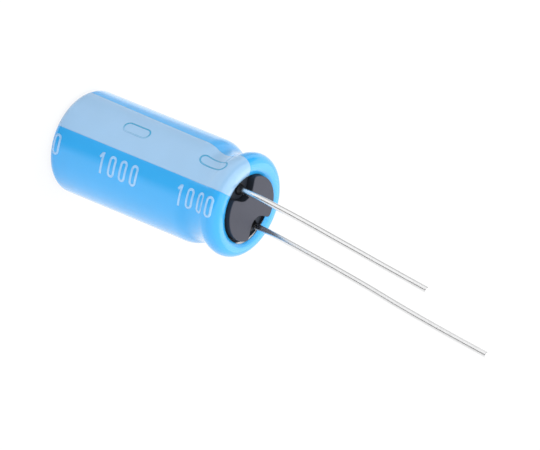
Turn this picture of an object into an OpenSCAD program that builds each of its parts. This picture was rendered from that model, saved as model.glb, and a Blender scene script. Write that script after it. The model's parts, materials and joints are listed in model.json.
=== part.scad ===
// Radial aluminium electrolytic capacitor, standing on its closed end.
// Z runs up the axis of the can, and the leads leave at the top.
// X runs from the anode lead to the cathode lead.

/* [Can] */
// Outer diameter of the drawn aluminium can
can_d = 10; // [9.4:0.1:12.5]
// Height of the can, from its closed end to the top of its curled rim
can_h = 20.55; // [18:0.05:35]
// Thickness of the can's side wall
can_wall = 0.3; // [0.2:0.05:0.4]
// Thickness of the can's closed end
can_end_t = 0.35; // [0.25:0.05:0.6]
// Outer radius of the corner round the closed end
corner_r = 0.75; // [0.5:0.05:1.2]
// Depth of the bead rolled into the side, which grips the bung
bead_depth = 0.9; // [0.6:0.05:1]
// Outside radius of the hollow of the bead
bead_r = 1.6; // [1.2:0.05:2.2]
// Radius of the shoulder between the side wall and the bead
shoulder_r = 2.05; // [1.2:0.05:2.8]
// Outside radius of the rim, curled over the bung
curl_r = 0.85; // [0.7:0.05:1]
// Angle that the curled rim runs on past its top
curl_wrap = 52; // [50:1:75]

/* [Pressure vent] */
// Length of each of the two scored lines that cross on the closed end
vent_len = 5.4; // [3:0.1:6.2]
// Width of a scored line
vent_w = 0.3; // [0.2:0.05:0.5]
// Depth of a scored line
vent_depth = 0.15; // [0.05:0.01:0.2]

/* [Sleeve and its print] */
// Thickness of the shrunk plastic sleeve
sleeve_t = 0.15; // [0.1:0.01:0.2]
// Width of the flat ring that the sleeve folds under the closed end
sleeve_foot = 1; // [0.5:0.1:1.5]
// Angle that the sleeve runs on past the top of the rim
sleeve_wrap = 42; // [30:1:48]
// Thickness of a printed layer
ink_t = 0.03; // [0.02:0.01:0.05]
// Angle round the can that the polarity stripe covers
stripe_angle = 56; // [40:1:80]
// Angle that the stripe runs down round the corner of the closed end
stripe_tuck = 60; // [20:1:70]
// Angle of the sleeve's wrap that the stripe leaves bare at the rim
stripe_gap = 2; // [1:1:10]
// Length of a minus mark, along the can
mark_len = 3.2; // [2:0.1:4]
// Width of a minus mark, round the can
mark_w = 1.25; // [0.8:0.05:2]
// Width of the printed line round a minus mark
mark_line = 0.17; // [0.1:0.01:0.3]
// Distance from the top of the rim down to the middle of the upper minus mark
mark_drop = 2.65; // [2.2:0.05:6]
// Distance between the middles of the two minus marks
mark_pitch = 9.4; // [6:0.05:10]

/* [Bung] */
// Height of the full round foot of the bung, below the bead's shoulder
bung_foot = 0.3; // [0.1:0.05:0.8]
// Diameter of the raised land on the bung
land_d = 6.5; // [5.4:0.1:6.6]
// Height of the land above the floor of the recesses
land_h = 0.8; // [0.4:0.02:1.2]
// Bevel round the top of the land
land_bevel = 0.1; // [0.05:0.01:0.2]
// Radius of the recess round each lead
recess_r = 1.1; // [0.8:0.05:1.3]
// Angle by which each side of a recess flares out towards the rim
recess_flare = 38; // [20:1:50]

/* [Leads] */
// Distance between the two leads
lead_pitch = 5; // [4.4:0.1:5.2]
// Diameter of the tinned wire
wire_d = 0.6; // [0.5:0.05:0.8]
// Diameter of the aluminium rod that passes through the bung
rod_d = 1.1; // [0.9:0.05:1.3]
// Height of the rod's end above the floor of its recess
rod_rise = 0.12; // [0.05:0.01:0.3]
// Height of the weld that tapers from the rod to the wire
weld_h = 0.4; // [0.2:0.05:0.7]
// Height above the land at which the wires are bent
bend_rise = 1.15; // [1:0.05:3]
// Radius of the middle of each wire in its bend
bend_r = 2; // [1:0.1:4]
// Direction, round the can from the cathode, in which the wires lean
bend_dir = 122; // [0:1:359]
// Thickness that a wire loses where it is bent
bend_thin = 0.01; // [0.005:0.001:0.02]
// Angle at which the cathode wire leans
cathode_lean = 5.6; // [1:0.1:20]
// Angle at which the anode wire leans
anode_lean = 6.1; // [1:0.1:20]
// Length of the cathode wire after its bend
cathode_len = 21.3; // [10:0.1:30]
// Length of the anode wire after its bend
anode_len = 27.2; // [15:0.1:40]
// Bevel left round the cut tip of each wire
tip_bevel = 0.06; // [0.02:0.01:0.12]

/* [Winding] */
// Gap between the top of the winding and the bung
head_gap = 1.35; // [1.2:0.05:3]
// Height by which the paper turns stand proud of the foils at each end
paper_proud = 0.5; // [0.2:0.05:0.7]
// Thickness of one paper ridge
paper_t = 0.2; // [0.1:0.01:0.3]
// Distance from one paper ridge to the next
turn_pitch = 0.7; // [0.5:0.05:1.2]
// Diameter of the hole left by the winding mandrel
mandrel_d = 2; // [1:0.1:3]
// Thickness of the tape that holds the last turn
tape_t = 0.1; // [0.05:0.01:0.15]
// Bare height of the winding below the tape and above it
tape_margin = 1.6; // [0.5:0.1:4]
// Gap between the taped winding and the can
winding_gap = 0.15; // [0.05:0.01:0.4]
// Width of the flattened tab of each lead
tab_w = 2.2; // [1.5:0.1:2.6]
// Thickness of a tab
tab_t = 0.25; // [0.15:0.01:0.4]
// Length of a tab inside the winding
tab_len = 10; // [5:0.1:12]
// Gap between a tab and the turns on each side of it
tab_gap = 0.03; // [0.01:0.01:0.1]

/* [Hidden] */

fn_round = 96;
fn_wire = 48;
arc_step = 7.5;
eps = 0.01;
lap = 0.02;

can_r = can_d / 2;
can_z = sleeve_t;
top_z = can_z + can_h;
corner_c = [can_r - corner_r, can_z + corner_r];
curl_c = [can_r - curl_r, top_z - curl_r];

// The bead's hollow touches the curled rim above it and the shoulder below it
bead_cx = can_r - bead_depth + bead_r;
bead_cz = curl_c[1] - sqrt(pow(bead_r + curl_r, 2) - pow(bead_cx - curl_c[0], 2));
bead_c = [bead_cx, bead_cz];
shoulder_cx = can_r - shoulder_r;
shoulder_cz = bead_cz - sqrt(pow(bead_r + shoulder_r, 2) - pow(bead_cx - shoulder_cx, 2));
shoulder_c = [shoulder_cx, shoulder_cz];
curl_a = atan2(bead_c[1] - curl_c[1], bead_c[0] - curl_c[0]);
shoulder_a = atan2(bead_c[1] - shoulder_c[1], bead_c[0] - shoulder_c[0]);
lip_a = 90 + curl_wrap;

floor_z = curl_c[1] + curl_r * sin(lip_a);
land_z = floor_z + land_h;
bung_z = shoulder_c[1] - bung_foot;
lead_x = lead_pitch / 2;
rod_z = floor_z + rod_rise;
bend_z = land_z + bend_rise;
winding_z = can_z + can_end_t;
winding_h = bung_z - head_gap - winding_z;
foil_h = winding_h - 2 * paper_proud;
winding_r = can_r - can_wall - winding_gap - tape_t;
turns = floor((winding_r - mandrel_d / 2 - paper_t) / turn_pitch);
tab_bottom = winding_z + winding_h - tab_len;
neck_z = bung_z - rod_d;

function on_circle(c, r, a) = [c[0] + r * cos(a), c[1] + r * sin(a)];

// Points along an arc: whole steps from its first angle, then its last angle
function arc(c, r, a0, a1) =
    let (n = ceil(abs(a1 - a0) / arc_step), way = sign(a1 - a0))
    concat([for (i = [0 : n - 1]) on_circle(c, r, a0 + i * way * arc_step)], [on_circle(c, r, a1)]);

function backwards(points) = [for (i = [len(points) - 1 : -1 : 0]) points[i]];
function tail(points) = [for (i = [1 : len(points) - 1]) points[i]];
function inner_points(points) = [for (i = [1 : len(points) - 2]) points[i]];

// The side from the shoulder up over the rim, at a distance out from the can's surface
function upper_edge(out, past_top) =
    concat(arc(shoulder_c, shoulder_r + out, 0, shoulder_a),
           inner_points(arc(bead_c, bead_r - out, 180 + shoulder_a, 180 + curl_a)),
           backwards(arc(curl_c, curl_r + out, 90, curl_a)),
           tail(arc(curl_c, curl_r + out, 90, 90 + past_top)));

// The whole side, from an angle round the closed end's corner
function side_edge(out, tuck, past_top) =
    concat(backwards(arc(corner_c, corner_r + out, 0, -tuck)), upper_edge(out, past_top));

module revolved() {
    rotate_extrude($fn = fn_round) children();
}

module at_lead(side) {
    translate([side * lead_x, 0, 0]) children();
}

module sleeve() {
    color([0.24, 0.64, 0.93])
        revolved() {
            foot_x = corner_c[0] - sleeve_foot;
            polygon(concat(side_edge(sleeve_t, 90, sleeve_wrap), backwards(side_edge(0, 90, sleeve_wrap)),
                           [[foot_x, sleeve_t], [foot_x, 0]]));
        }
}

// A printed layer on the cathode side, between two distances out from the can's surface
module ink_band(out0, out1, past_top) {
    rotate([0, 0, -stripe_angle / 2])
        rotate_extrude(angle = stripe_angle, $fn = fn_round)
            polygon(concat(side_edge(out1, stripe_tuck, past_top),
                           backwards(side_edge(out0, stripe_tuck, past_top))));
}

// The pale band that marks the cathode side
module polarity_stripe() {
    color([0.68, 0.8, 0.93]) ink_band(sleeve_t, sleeve_t + ink_t, sleeve_wrap - stripe_gap);
}

module mark_outline(grow) {
    r = mark_w / 2 + grow;
    half = (mark_len - mark_w) / 2;
    for (s = [-1, 1]) translate([0, s * half]) circle(r = r, $fn = fn_wire);
    translate([-r, -half]) square([2 * r, 2 * half]);
}

// Two long minus signs in outline, printed on the stripe
module minus_marks() {
    color([0.2, 0.6, 0.75])
        intersection() {
            ink_band(sleeve_t + ink_t, sleeve_t + 2 * ink_t, 0);
            for (i = [0, 1])
                translate([0, 0, top_z - mark_drop - i * mark_pitch])
                    rotate([90, 0, 90])
                        linear_extrude(height = can_d)
                            difference() {
                                mark_outline(0);
                                mark_outline(-mark_line);
                            }
        }
}

module can() {
    inside_r = corner_r - can_wall;
    inside_c = [corner_c[0], can_z + can_end_t + inside_r];
    color([0.8, 0.81, 0.83])
        difference() {
            revolved()
                polygon(concat([[0, can_z]], side_edge(0, 90, curl_wrap), backwards(upper_edge(-can_wall, curl_wrap)),
                               arc(inside_c, inside_r, 0, -90), [[0, can_z + can_end_t]]));
            for (a = [0, 90])
                rotate([0, 0, a])
                    translate([-vent_len / 2, -vent_w / 2, can_z - eps])
                        cube([vent_len, vent_w, vent_depth + eps]);
        }
}

// The bung fills the can's wall up to the end of the curled rim
module bung_section() {
    polygon(concat([[0, bung_z], [can_r - can_wall, bung_z]], upper_edge(-can_wall, curl_wrap),
                   [on_circle(curl_c, curl_r, lip_a), [0, floor_z]]));
}

module land_section() {
    land_r = land_d / 2;
    polygon([[0, floor_z - land_h], [land_r, floor_z - land_h], [land_r, land_z - land_bevel],
             [land_r - land_bevel, land_z], [0, land_z]]);
}

// The recess round a lead, open towards the rim
module recess_outline() {
    a = 90 + recess_flare;
    reach = land_d;
    corner = on_circle([0, 0], recess_r, a);
    circle(r = recess_r, $fn = fn_wire);
    polygon([[0, 0], corner, [corner[0] + reach, corner[1] + reach * tan(recess_flare)],
             [corner[0] + reach, -corner[1] - reach * tan(recess_flare)], [corner[0], -corner[1]]]);
}

module rubber_bung() {
    color([0.13, 0.13, 0.15])
        difference() {
            union() {
                revolved() bung_section();
                difference() {
                    revolved() land_section();
                    for (a = [0, 180])
                        rotate([0, 0, a])
                            translate([lead_x, 0, floor_z])
                                linear_extrude(height = 2 * land_h) recess_outline();
                }
            }
            for (s = [-1, 1])
                at_lead(s)
                    translate([0, 0, bung_z - eps])
                        cylinder(d = rod_d, h = floor_z - bung_z + 2 * eps, $fn = fn_wire);
        }
}

// A wire that rises straight from its weld, bends once and runs on straight to its cut tip
module lead(lean, run) {
    wire_r = wire_d / 2;
    bend_start = bend_z - bend_r * tan(lean / 2);
    lap_a = lap / bend_r * 180 / PI;
    translate([0, 0, rod_z])
        rotate_extrude($fn = fn_wire)
            polygon([[0, 0], [rod_d / 2, 0], [wire_r, weld_h], [wire_r, bend_start - rod_z],
                     [0, bend_start - rod_z]]);
    rotate([0, 0, bend_dir])
        translate([bend_r, 0, bend_start]) {
            rotate([90, 0, 180])
                rotate_extrude(angle = lean + 2 * lap_a, start = -lap_a, $fn = 8 * fn_round)
                    translate([bend_r, 0]) circle(d = wire_d - bend_thin, $fn = fn_wire);
            rotate([0, lean, 0])
                translate([-bend_r, 0, 0])
                    rotate_extrude($fn = fn_wire)
                        polygon([[0, 0], [wire_r, 0], [wire_r, run - tip_bevel], [wire_r - tip_bevel, run], [0, run]]);
        }
}

module cathode_lead() {
    color([0.83, 0.84, 0.86]) at_lead(1) lead(cathode_lean, cathode_len);
}

module anode_lead() {
    color([0.83, 0.84, 0.86]) at_lead(-1) lead(anode_lean, anode_len);
}

// The aluminium end of a lead: a rod through the bung, cut to a chisel and rolled flat below it
module tab() {
    edge = tab_t / 4;
    intersection() {
        translate([0, 0, neck_z]) cylinder(d = rod_d, h = rod_z - neck_z, $fn = fn_wire);
        rotate([90, 0, 0])
            translate([0, 0, -rod_d])
                linear_extrude(height = 2 * rod_d)
                    polygon([[-edge, neck_z], [edge, neck_z], [rod_d, bung_z], [rod_d, land_z],
                             [-rod_d, land_z], [-rod_d, bung_z]]);
    }
    rotate([90, 0, 90])
        translate([0, 0, -tab_t / 2])
            linear_extrude(height = tab_t)
                polygon([[-tab_w / 2, tab_bottom], [tab_w / 2, tab_bottom], [tab_w / 2, neck_z], [edge, bung_z],
                         [-edge, bung_z], [-tab_w / 2, neck_z]]);
}

module cathode_tab() {
    color([0.75, 0.76, 0.78]) at_lead(1) tab();
}

module anode_tab() {
    color([0.75, 0.76, 0.78]) at_lead(-1) tab();
}

// Anode foil, cathode foil and paper, wound together on a mandrel
module winding() {
    slot_t = tab_t + 2 * tab_gap;
    slot_w = tab_w + 2 * tab_gap;
    color([0.86, 0.8, 0.68])
        difference() {
            translate([0, 0, winding_z])
                revolved() {
                    translate([mandrel_d / 2, paper_proud]) square([winding_r - mandrel_d / 2, foil_h]);
                    for (i = [0 : turns])
                        translate([mandrel_d / 2 + i * turn_pitch, 0]) square([paper_t, winding_h]);
                }
            for (s = [-1, 1])
                at_lead(s)
                    translate([-slot_t / 2, -slot_w / 2, tab_bottom - tab_gap])
                        cube([slot_t, slot_w, tab_len + tab_gap + eps]);
        }
}

module winding_tape() {
    color([0.93, 0.9, 0.75])
        translate([0, 0, winding_z + tape_margin])
            revolved() translate([winding_r, 0]) square([tape_t, winding_h - 2 * tape_margin]);
}

sleeve();
polarity_stripe();
minus_marks();
can();
rubber_bung();
cathode_lead();
anode_lead();
cathode_tab();
anode_tab();
winding();
winding_tape();
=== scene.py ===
"""Looks for a radial electrolytic capacitor that stands on its closed end, leads up.

The can's axis is Z. The cathode lead and the polarity stripe are on the +X side.
Every length is in metres and every azimuth is measured round Z from +X.
"""
import json
import math

import bmesh
import bpy
import numpy as np
from bpy.props import FloatProperty, FloatVectorProperty, IntProperty, PointerProperty, StringProperty
from mathutils import Matrix, Vector


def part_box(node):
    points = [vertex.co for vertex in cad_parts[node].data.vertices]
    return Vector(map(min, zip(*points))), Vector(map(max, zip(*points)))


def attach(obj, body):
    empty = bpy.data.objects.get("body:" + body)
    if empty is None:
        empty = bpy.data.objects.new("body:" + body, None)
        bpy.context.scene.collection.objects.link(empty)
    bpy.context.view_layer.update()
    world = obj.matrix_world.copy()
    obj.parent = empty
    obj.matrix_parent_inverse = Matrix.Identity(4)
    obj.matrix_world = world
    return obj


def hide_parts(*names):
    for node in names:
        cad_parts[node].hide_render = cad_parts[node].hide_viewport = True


bl_info = {
    "name": "Radial Electrolytic Capacitor",
    "version": (1, 0, 0),
    "blender": (4, 5, 0),
    "location": "3D View > Sidebar > Capacitor",
    "description": "Builds the sleeve, print, bung, leads and studio of a radial electrolytic capacitor",
    "category": "Object",
}

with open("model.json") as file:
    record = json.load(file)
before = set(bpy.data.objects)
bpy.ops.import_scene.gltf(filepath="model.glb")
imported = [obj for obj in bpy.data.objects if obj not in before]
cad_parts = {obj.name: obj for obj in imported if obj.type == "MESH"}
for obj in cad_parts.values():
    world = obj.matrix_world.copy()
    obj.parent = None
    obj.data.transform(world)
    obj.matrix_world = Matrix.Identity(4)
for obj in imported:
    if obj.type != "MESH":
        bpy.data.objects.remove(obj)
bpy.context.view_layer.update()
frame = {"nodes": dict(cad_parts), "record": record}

MM = 0.001
BODY = "root"

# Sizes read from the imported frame
CAN_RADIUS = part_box("can")[1].x
CAN_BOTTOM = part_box("can")[0].z
RIM_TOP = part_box("can")[1].z
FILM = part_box("sleeve")[1].x - CAN_RADIUS
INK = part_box("polarity_stripe")[1].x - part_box("sleeve")[1].x
LAND_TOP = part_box("rubber_bung")[1].z
ROD_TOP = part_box("cathode_tab")[1].z
ROD_RADIUS = -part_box("cathode_lead")[0].y
LEAD_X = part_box("cathode_lead")[1].x - ROD_RADIUS
MOUNTS = {mount["name"]: mount for mount in frame["record"]["mounts"]}

# How far the ink stands off the film, and how deep it is sunk in it
INK_LIFT = 0.4 * INK
MARK_LIFT = 0.6 * INK
INK_SUNK = -0.2 * INK

# Copies of the print along the can
MARK_COUNT = 2
NUMBER_COUNT = 3

# The shrunk film: the length of its slow wave along the can, and the count and half height of its pleats
FLATS_LENGTH = 13 * MM
PLEAT_COUNT = 19
PLEAT_BAND = 1.0 * MM

# The power that keeps the film's bridge over the bead to one side
BRIDGE_FOCUS = 2.3

WHITE = (1, 1, 1, 1)
UPWARDS = np.array([0, 0, 1])


def length(name, description, millimetres, **options):
    """A length setting, given in millimetres and kept in metres."""
    return FloatProperty(name=name, description=description, default=millimetres * MM, precision=5,
                         unit="LENGTH", **options)


def lengths(name, description, millimetres):
    """A row of length settings, given in millimetres and kept in metres."""
    return FloatVectorProperty(name=name, description=description, default=[v * MM for v in millimetres],
                               size=len(millimetres), precision=5, unit="LENGTH")


def angle(name, description, degrees):
    return FloatProperty(name=name, description=description, default=math.radians(degrees), subtype="ANGLE")


def colour(name, description, value):
    """A colour setting, in linear light."""
    return FloatVectorProperty(name=name, description=description, default=value, size=3, min=0, max=1,
                               subtype="COLOR")


def curve_points(name, description, points):
    """A brightness curve round the can, as pairs of an azimuth in degrees and a brightness."""
    flat = [value for pair in points for value in pair]
    return FloatVectorProperty(name=name, description=description, default=flat, size=len(flat))


def amount(name, description, value, **options):
    return FloatProperty(name=name, description=description, default=value, **options)


class CanSettings(bpy.types.PropertyGroup):
    corner_radius: length("Corner radius", "Outer radius of the corner round the closed end", 0.75)
    bead_depth: length("Bead depth", "Depth of the bead rolled into the side", 0.9)
    bead_radius: length("Bead radius", "Outside radius of the hollow of the bead", 1.6)
    shoulder_radius: length("Shoulder radius", "Radius between the side wall and the bead", 2.05)
    curl_radius: length("Curl radius", "Outside radius of the curled rim", 0.85)
    curl_wrap: angle("Curl wrap", "Angle that the curled rim runs on past its top", 52)
    wall: length("Wall", "Thickness of the can's wall", 0.3)
    metal: colour("Metal", "Colour of the bare aluminium", (0.82, 0.83, 0.85))


class SleeveSettings(bpy.types.PropertyGroup):
    wrap: angle("Wrap", "Angle that the film runs on past the top of the rim", 42)
    opening_radius: length("Opening radius", "Radius of the film's opening", 3.33)
    opening_shift: length("Opening shift", "How far the film's opening has shrunk off centre", 0.06)
    opening_azimuth: angle("Opening azimuth", "Direction in which the film's opening is off centre", 122)
    bare_depth: length("Bare depth", "How far the film's edge is drawn back where the lip is bare", 0.24)
    bare_azimuth: angle("Bare azimuth", "Azimuth of the middle of the bare part of the lip", 145)
    bare_spread: angle("Bare spread", "Angle over which the lip is bare, to each side", 42)
    loose: length("Loose", "Greatest height at which the film stands off the rim", 0.07)
    loose_azimuth: angle("Loose azimuth", "Azimuth at which the film is loosest", 70)
    opening_waver: length("Opening waver", "How far the cut edge of the opening wavers", 0.012)
    foot: length("Foot", "Width of the ring that the film folds under the closed end", 1.0)
    foot_waver: length("Foot waver", "How far the film's cut edge wavers under the closed end", 0.08)
    ripple: length("Ripple", "Depth of the shallow flats that shrinking leaves in the film", 0.016)
    pleat: length("Pleat", "Depth of the fine pleats in the hollow of the bead", 0.006)
    bridge: amount("Bridge", "Greatest share of the bead's depth that the film bridges", 0.8,
                   subtype="FACTOR")
    bridge_azimuth: angle("Bridge azimuth", "Azimuth at which the film bridges the bead most", 46)
    colour: colour("Colour", "Colour of the film", (0.032, 0.4, 0.86))


class PrintSettings(bpy.types.PropertyGroup):
    stripe_angle: angle("Stripe angle", "Angle round the can that the stripe covers", 56)
    stripe_skew: angle("Stripe skew", "Angle by which the stripe's first edge draws in along the can", 4.9)
    stripe_skew_run: length("Stripe skew run", "Height at which that edge has drawn in fully", 14)
    stripe_tuck: angle("Stripe tuck", "Angle that the stripe runs down round the closed end's corner", 60)
    stripe_gap: angle("Stripe gap", "Angle of the film's wrap that the stripe leaves bare", 2)
    stripe_colour: colour("Stripe colour", "Colour of the polarity stripe", (0.3, 0.52, 0.77))
    mark_length: length("Mark length", "Length of a minus mark, along the can", 3.2)
    mark_width: length("Mark width", "Width of a minus mark, round the can", 1.25)
    mark_line: length("Mark line", "Width of the line round a minus mark", 0.17)
    mark_drop: length("Mark drop", "Distance from the rim's top to the middle of the upper mark", 2.65)
    mark_pitch: length("Mark pitch", "Distance between the middles of the marks", 9.4)
    mark_colour: colour("Mark colour", "Colour of the line round a minus mark", (0.015, 0.32, 0.58))
    digits: StringProperty(name="Digits", description="Plain number printed beside the stripe",
                           default="1000")
    digit_height: length("Digit height", "Height of a digit, round the can", 2.1)
    digit_width: length("Digit width", "Width of a digit, along the can", 0.86)
    digit_pitch: length("Digit pitch", "Distance from one digit to the next", 1.36)
    digit_line: length("Digit line", "Width of a digit's strokes", 0.25)
    number_end: length("Number end", "Place of the end of the first number, along the film", 1.4)
    number_pitch: length("Number pitch", "Distance from one number to the next", 9.7)
    number_azimuth: angle("Number azimuth", "Azimuth of the middle of the digits", 47.5)
    number_colour: colour("Number colour", "Colour of the digits", (0.4, 0.64, 0.92))


class BungSettings(bpy.types.PropertyGroup):
    land_radius: length("Land radius", "Radius of the raised land", 3.25)
    land_height: length("Land height", "Height of the land above the floor of the recesses", 0.8)
    recess_radius: length("Recess radius", "Radius of the recess round each lead", 1.1)
    recess_flare: angle("Recess flare", "Angle by which each side of a recess flares out", 38)
    edge_radius: length("Edge radius", "Rounding of the land's edge", 0.07)
    draft: length("Draft", "How much wider the land is at its foot", 0.04)
    corner_ease: length("Corner ease", "Length of outline over which the land's corners are eased", 1.15)
    squeeze: angle("Squeeze", "Angle past the rim's top at which the rubber swells against the lip", 46)
    cover: length("Cover", "How far the rubber swells over the lip where the film hides it", 0.1)
    groove: length("Groove", "Depth of the groove between the land and the lip", 0.2)
    bottom: length("Bottom", "Height of the underside of the bung", 15.3)
    colour: colour("Colour", "Colour of the rubber's dull face", (0.072, 0.075, 0.096))
    # Recess shade colour: painted shade, darker rubber below the land's face for the shade in its recesses.
    clean: colour("Recess shade colour", "Colour of the rubber below its face", (0.025, 0.03, 0.041))


class LeadSettings(bpy.types.PropertyGroup):
    weld_height: length("Weld height", "Height of the weld between the rod and the wire", 0.4)
    bend_radius: length("Bend radius", "Radius of a wire in its bend", 34.0)
    bevel: length("Tip bevel", "Bevel round the cut tip of a wire", 0.06)
    cathode_drift: lengths("Cathode drift", "How far the shorter wire strays from its line, at even steps",
                           (0.085, 0.055, -0.005, -0.025, -0.015, -0.005, 0.015, 0.02, 0.02))
    anode_drift: lengths("Anode drift", "How far the longer wire strays from its line, at even steps",
                         (0.04, 0.03, -0.025, -0.065, -0.05, 0.015, 0.035, 0.005, -0.06))
    tin: colour("Tin", "Colour of the tinned wire", (0.93, 0.93, 0.935))
    # The weld colour is dull weld metal darkened as painted shade, for the shade round the rods in the
    # recesses.
    weld: colour("Weld", "Colour of the dull metal round the weld", (0.06, 0.06, 0.065))
    dull_shade_height: length("Weld dull and shade", "Height above the rod to which the metal is dull from welding", 0.45)
    weld_fade: length("Weld fade", "Height over which the dull metal turns bright", 0.35)


class StageSettings(bpy.types.PropertyGroup):
    azimuth: angle("Azimuth", "Azimuth of the camera", 32)
    elevation: angle("Elevation", "Elevation of the camera", 33.5)
    axis_slope: angle("Axis slope", "Angle by which the can's axis falls to the right in the picture", 22.4)
    distance: length("Distance", "Distance from the closed end to the camera, along the view", 438.1)
    pixel_scale: amount("Pixels per millimetre", "Scale of the picture at the closed end", 10.408)
    picture_width: IntProperty(name="Picture width", description="Width of the picture in pixels",
                               default=540)
    picture_height: IntProperty(name="Picture height", description="Height of the picture in pixels",
                                default=450)
    closed_end_u: amount("Closed end across", "Pixel across the picture of the closed end's middle", 82.58)
    closed_end_v: amount("Closed end down", "Pixel down the picture of the closed end's middle", 139.38)
    floor_size: length("Floor size", "Side of the square floor", 1600)
    floor_colour: colour("Floor colour", "Colour of the floor", (0.82, 0.82, 0.82))
    floor_white: amount("Floor white", "Share of plain white in the floor as the camera sees it", 0.86,
                        subtype="FACTOR")
    near_card: curve_points("Near card", "Brightness of the card that the sleeve mirrors, by azimuth",
                            ((-130, 1.03), (-122, 1.15), (-110, 1.15), (-100, 0.75), (-78, 0.72), (-62, 0.6),
                             (-30, 1.03), (22, 1.03), (27, 0), (52, 0), (72, 1.03)))
    near_card_reach: length("Near card reach", "How far the near card runs out from the can", 32)
    upright_card: curve_points("Upright card", "Brightness of the upright and tall cards, by azimuth",
                               ((22, 1.03), (27, 0), (52, 0), (72, 1.03)))
    upright_distance: length("Upright card distance", "Distance of the upright card from the can", 3)
    upright_height: length("Upright card height", "Height of the upright card", 19.4)
    tall_height: length("Tall card height", "Height of the card that the rim mirrors", 88)
    # The crease shade card is a dark band only reflections show: partly a reflection, partly painted shade
    # under the rim.
    crease_shade_card: curve_points("Crease shade card", "Brightness of the band that makes the crease under the rim",
                              ((-100, 1.03), (-90, 0), (30, 0)))
    crease_low: length("Crease shade card bottom", "Height of the bottom of the crease's band", 36)
    crease_high: length("Crease shade card top", "Height of the top of the crease's band", 90)
    far_card: curve_points("Far card", "Brightness of the card that the wires mirror, by azimuth",
                           ((-108, 1.03), (-102, 0.55), (-48, 0.55), (-42, 1.03), (-30, 1.03), (-20, 1.03),
                            (41, 1.03), (45, 0), (61, 0), (65, 0.85), (110, 0.85), (140, 1.03)))
    card_reach: length("Card reach", "How far the far card runs out from the can", 90)
    ambient: amount("Ambient", "Strength of the light from all round", 0.8)
    reflected: amount("Reflected", "Strength of the white surroundings in reflections", 1.0)
    key_power: amount("Key power", "Power of the large soft light", 3.3, unit="POWER")
    fill_power: amount("Fill power", "Power of the low light beside the camera", 0.8, unit="POWER")
    fill_azimuth: angle("Fill azimuth", "Azimuth of the low light", 80)
    back_power: amount("Back power", "Power of the light behind the can, which shines in the rim", 0.56,
                       unit="POWER")
    back_azimuth: angle("Back azimuth", "Azimuth of the light behind the can", 212)
    key_size: length("Key size", "Side of the large soft light", 500)
    key_distance: length("Key distance", "Distance of the large soft light from the can", 700)


def settings():
    return bpy.context.scene.capacitor


# Surfaces

def arc(centre, radius, start, end, rows):
    """Points (r, z) on a circle: centre + radius * (cos a, sin a), with a going evenly from start to end.

    start, end and radius may be arrays with one value for each column, and the result is rows x columns x 2.
    """
    start, end, radius = np.broadcast_arrays(*(np.atleast_1d(v) for v in (start, end, radius)))
    share = np.linspace(0, 1, rows)[:, None]
    a = start + (end - start) * share
    return np.stack([centre[0] + radius * np.cos(a), centre[1] + radius * np.sin(a)], axis=2)


def smooth_step(value):
    """0 below 0, 1 above 1, and 3 v^2 - 2 v^3 between."""
    value = np.clip(value, 0, 1)
    return value * value * (3 - 2 * value)


def curve_through(values, share):
    """A smooth curve through values at even steps, read at a share of its length from 0 to 1.

    Between values b and c, with a before and d after, and t from 0 to 1, it is
    b + t (c - a) / 2 + t^2 (2a - 5b + 4c - d) / 2 + t^3 (3b - a - 3c + d) / 2.
    """
    values = np.array(values)
    padded = np.concatenate([[2 * values[0] - values[1]], values, [2 * values[-1] - values[-2]]])
    place = np.clip(share, 0, 1) * (len(values) - 1)
    i = np.minimum(place.astype(int), len(values) - 2)
    t = place - i
    a, b, c, d = (padded[i + step] for step in range(4))
    return (b + t * (c - a) / 2 + t ** 2 * (2 * a - 5 * b + 4 * c - d) / 2
            + t ** 3 * (3 * b - a - 3 * c + d) / 2)


def unit(vectors):
    """The same directions, at length 1."""
    return vectors / np.linalg.norm(vectors, axis=-1, keepdims=True)


def turned_left(along):
    """Flat directions turned left by a right angle: (x, y) becomes (-y, x)."""
    return np.stack([-along[..., 1], along[..., 0]], axis=-1)


def around(path):
    """Direction of a closed path at each point, from the point before it to the point after it."""
    return np.roll(path, -1, axis=0) - np.roll(path, 1, axis=0)


def walked(path):
    """Distance along a path to each of its points."""
    return np.concatenate([[0], np.cumsum(np.linalg.norm(np.diff(path, axis=0), axis=1))])


def evenly(loop, count):
    """A path whose last point is its first, as count points at even distances."""
    distance = walked(loop)
    even = np.linspace(0, distance[-1], count, endpoint=False)
    return np.stack([np.interp(even, distance, loop[:, i]) for i in (0, 1)], axis=1)


def can_arcs():
    """Centres and angles of the arcs of the can's side.

    The bead's hollow touches the curled rim above it and the shoulder below it, so the distance between
    the centres of two arcs that touch is the sum of their radii.
    """
    can = settings().can
    corner = (CAN_RADIUS - can.corner_radius, CAN_BOTTOM + can.corner_radius)
    curl = (CAN_RADIUS - can.curl_radius, RIM_TOP - can.curl_radius)
    bead_r = CAN_RADIUS - can.bead_depth + can.bead_radius
    bead_z = curl[1] - math.sqrt((can.bead_radius + can.curl_radius) ** 2 - (bead_r - curl[0]) ** 2)
    shoulder_r = CAN_RADIUS - can.shoulder_radius
    span = can.bead_radius + can.shoulder_radius
    shoulder_z = bead_z - math.sqrt(span ** 2 - (bead_r - shoulder_r) ** 2)
    return {
        "corner": corner, "shoulder": (shoulder_r, shoulder_z), "bead": (bead_r, bead_z), "curl": curl,
        "curl_start": math.atan2(bead_z - curl[1], bead_r - curl[0]),
        "shoulder_end": math.atan2(bead_z - shoulder_z, bead_r - shoulder_r),
    }


def shoulder_arc(out, rows):
    """The shoulder, from the straight wall to the bead, at a distance out from the bare metal."""
    arcs = can_arcs()
    return arc(arcs["shoulder"], settings().can.shoulder_radius + out, 0, arcs["shoulder_end"], rows)


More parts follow.
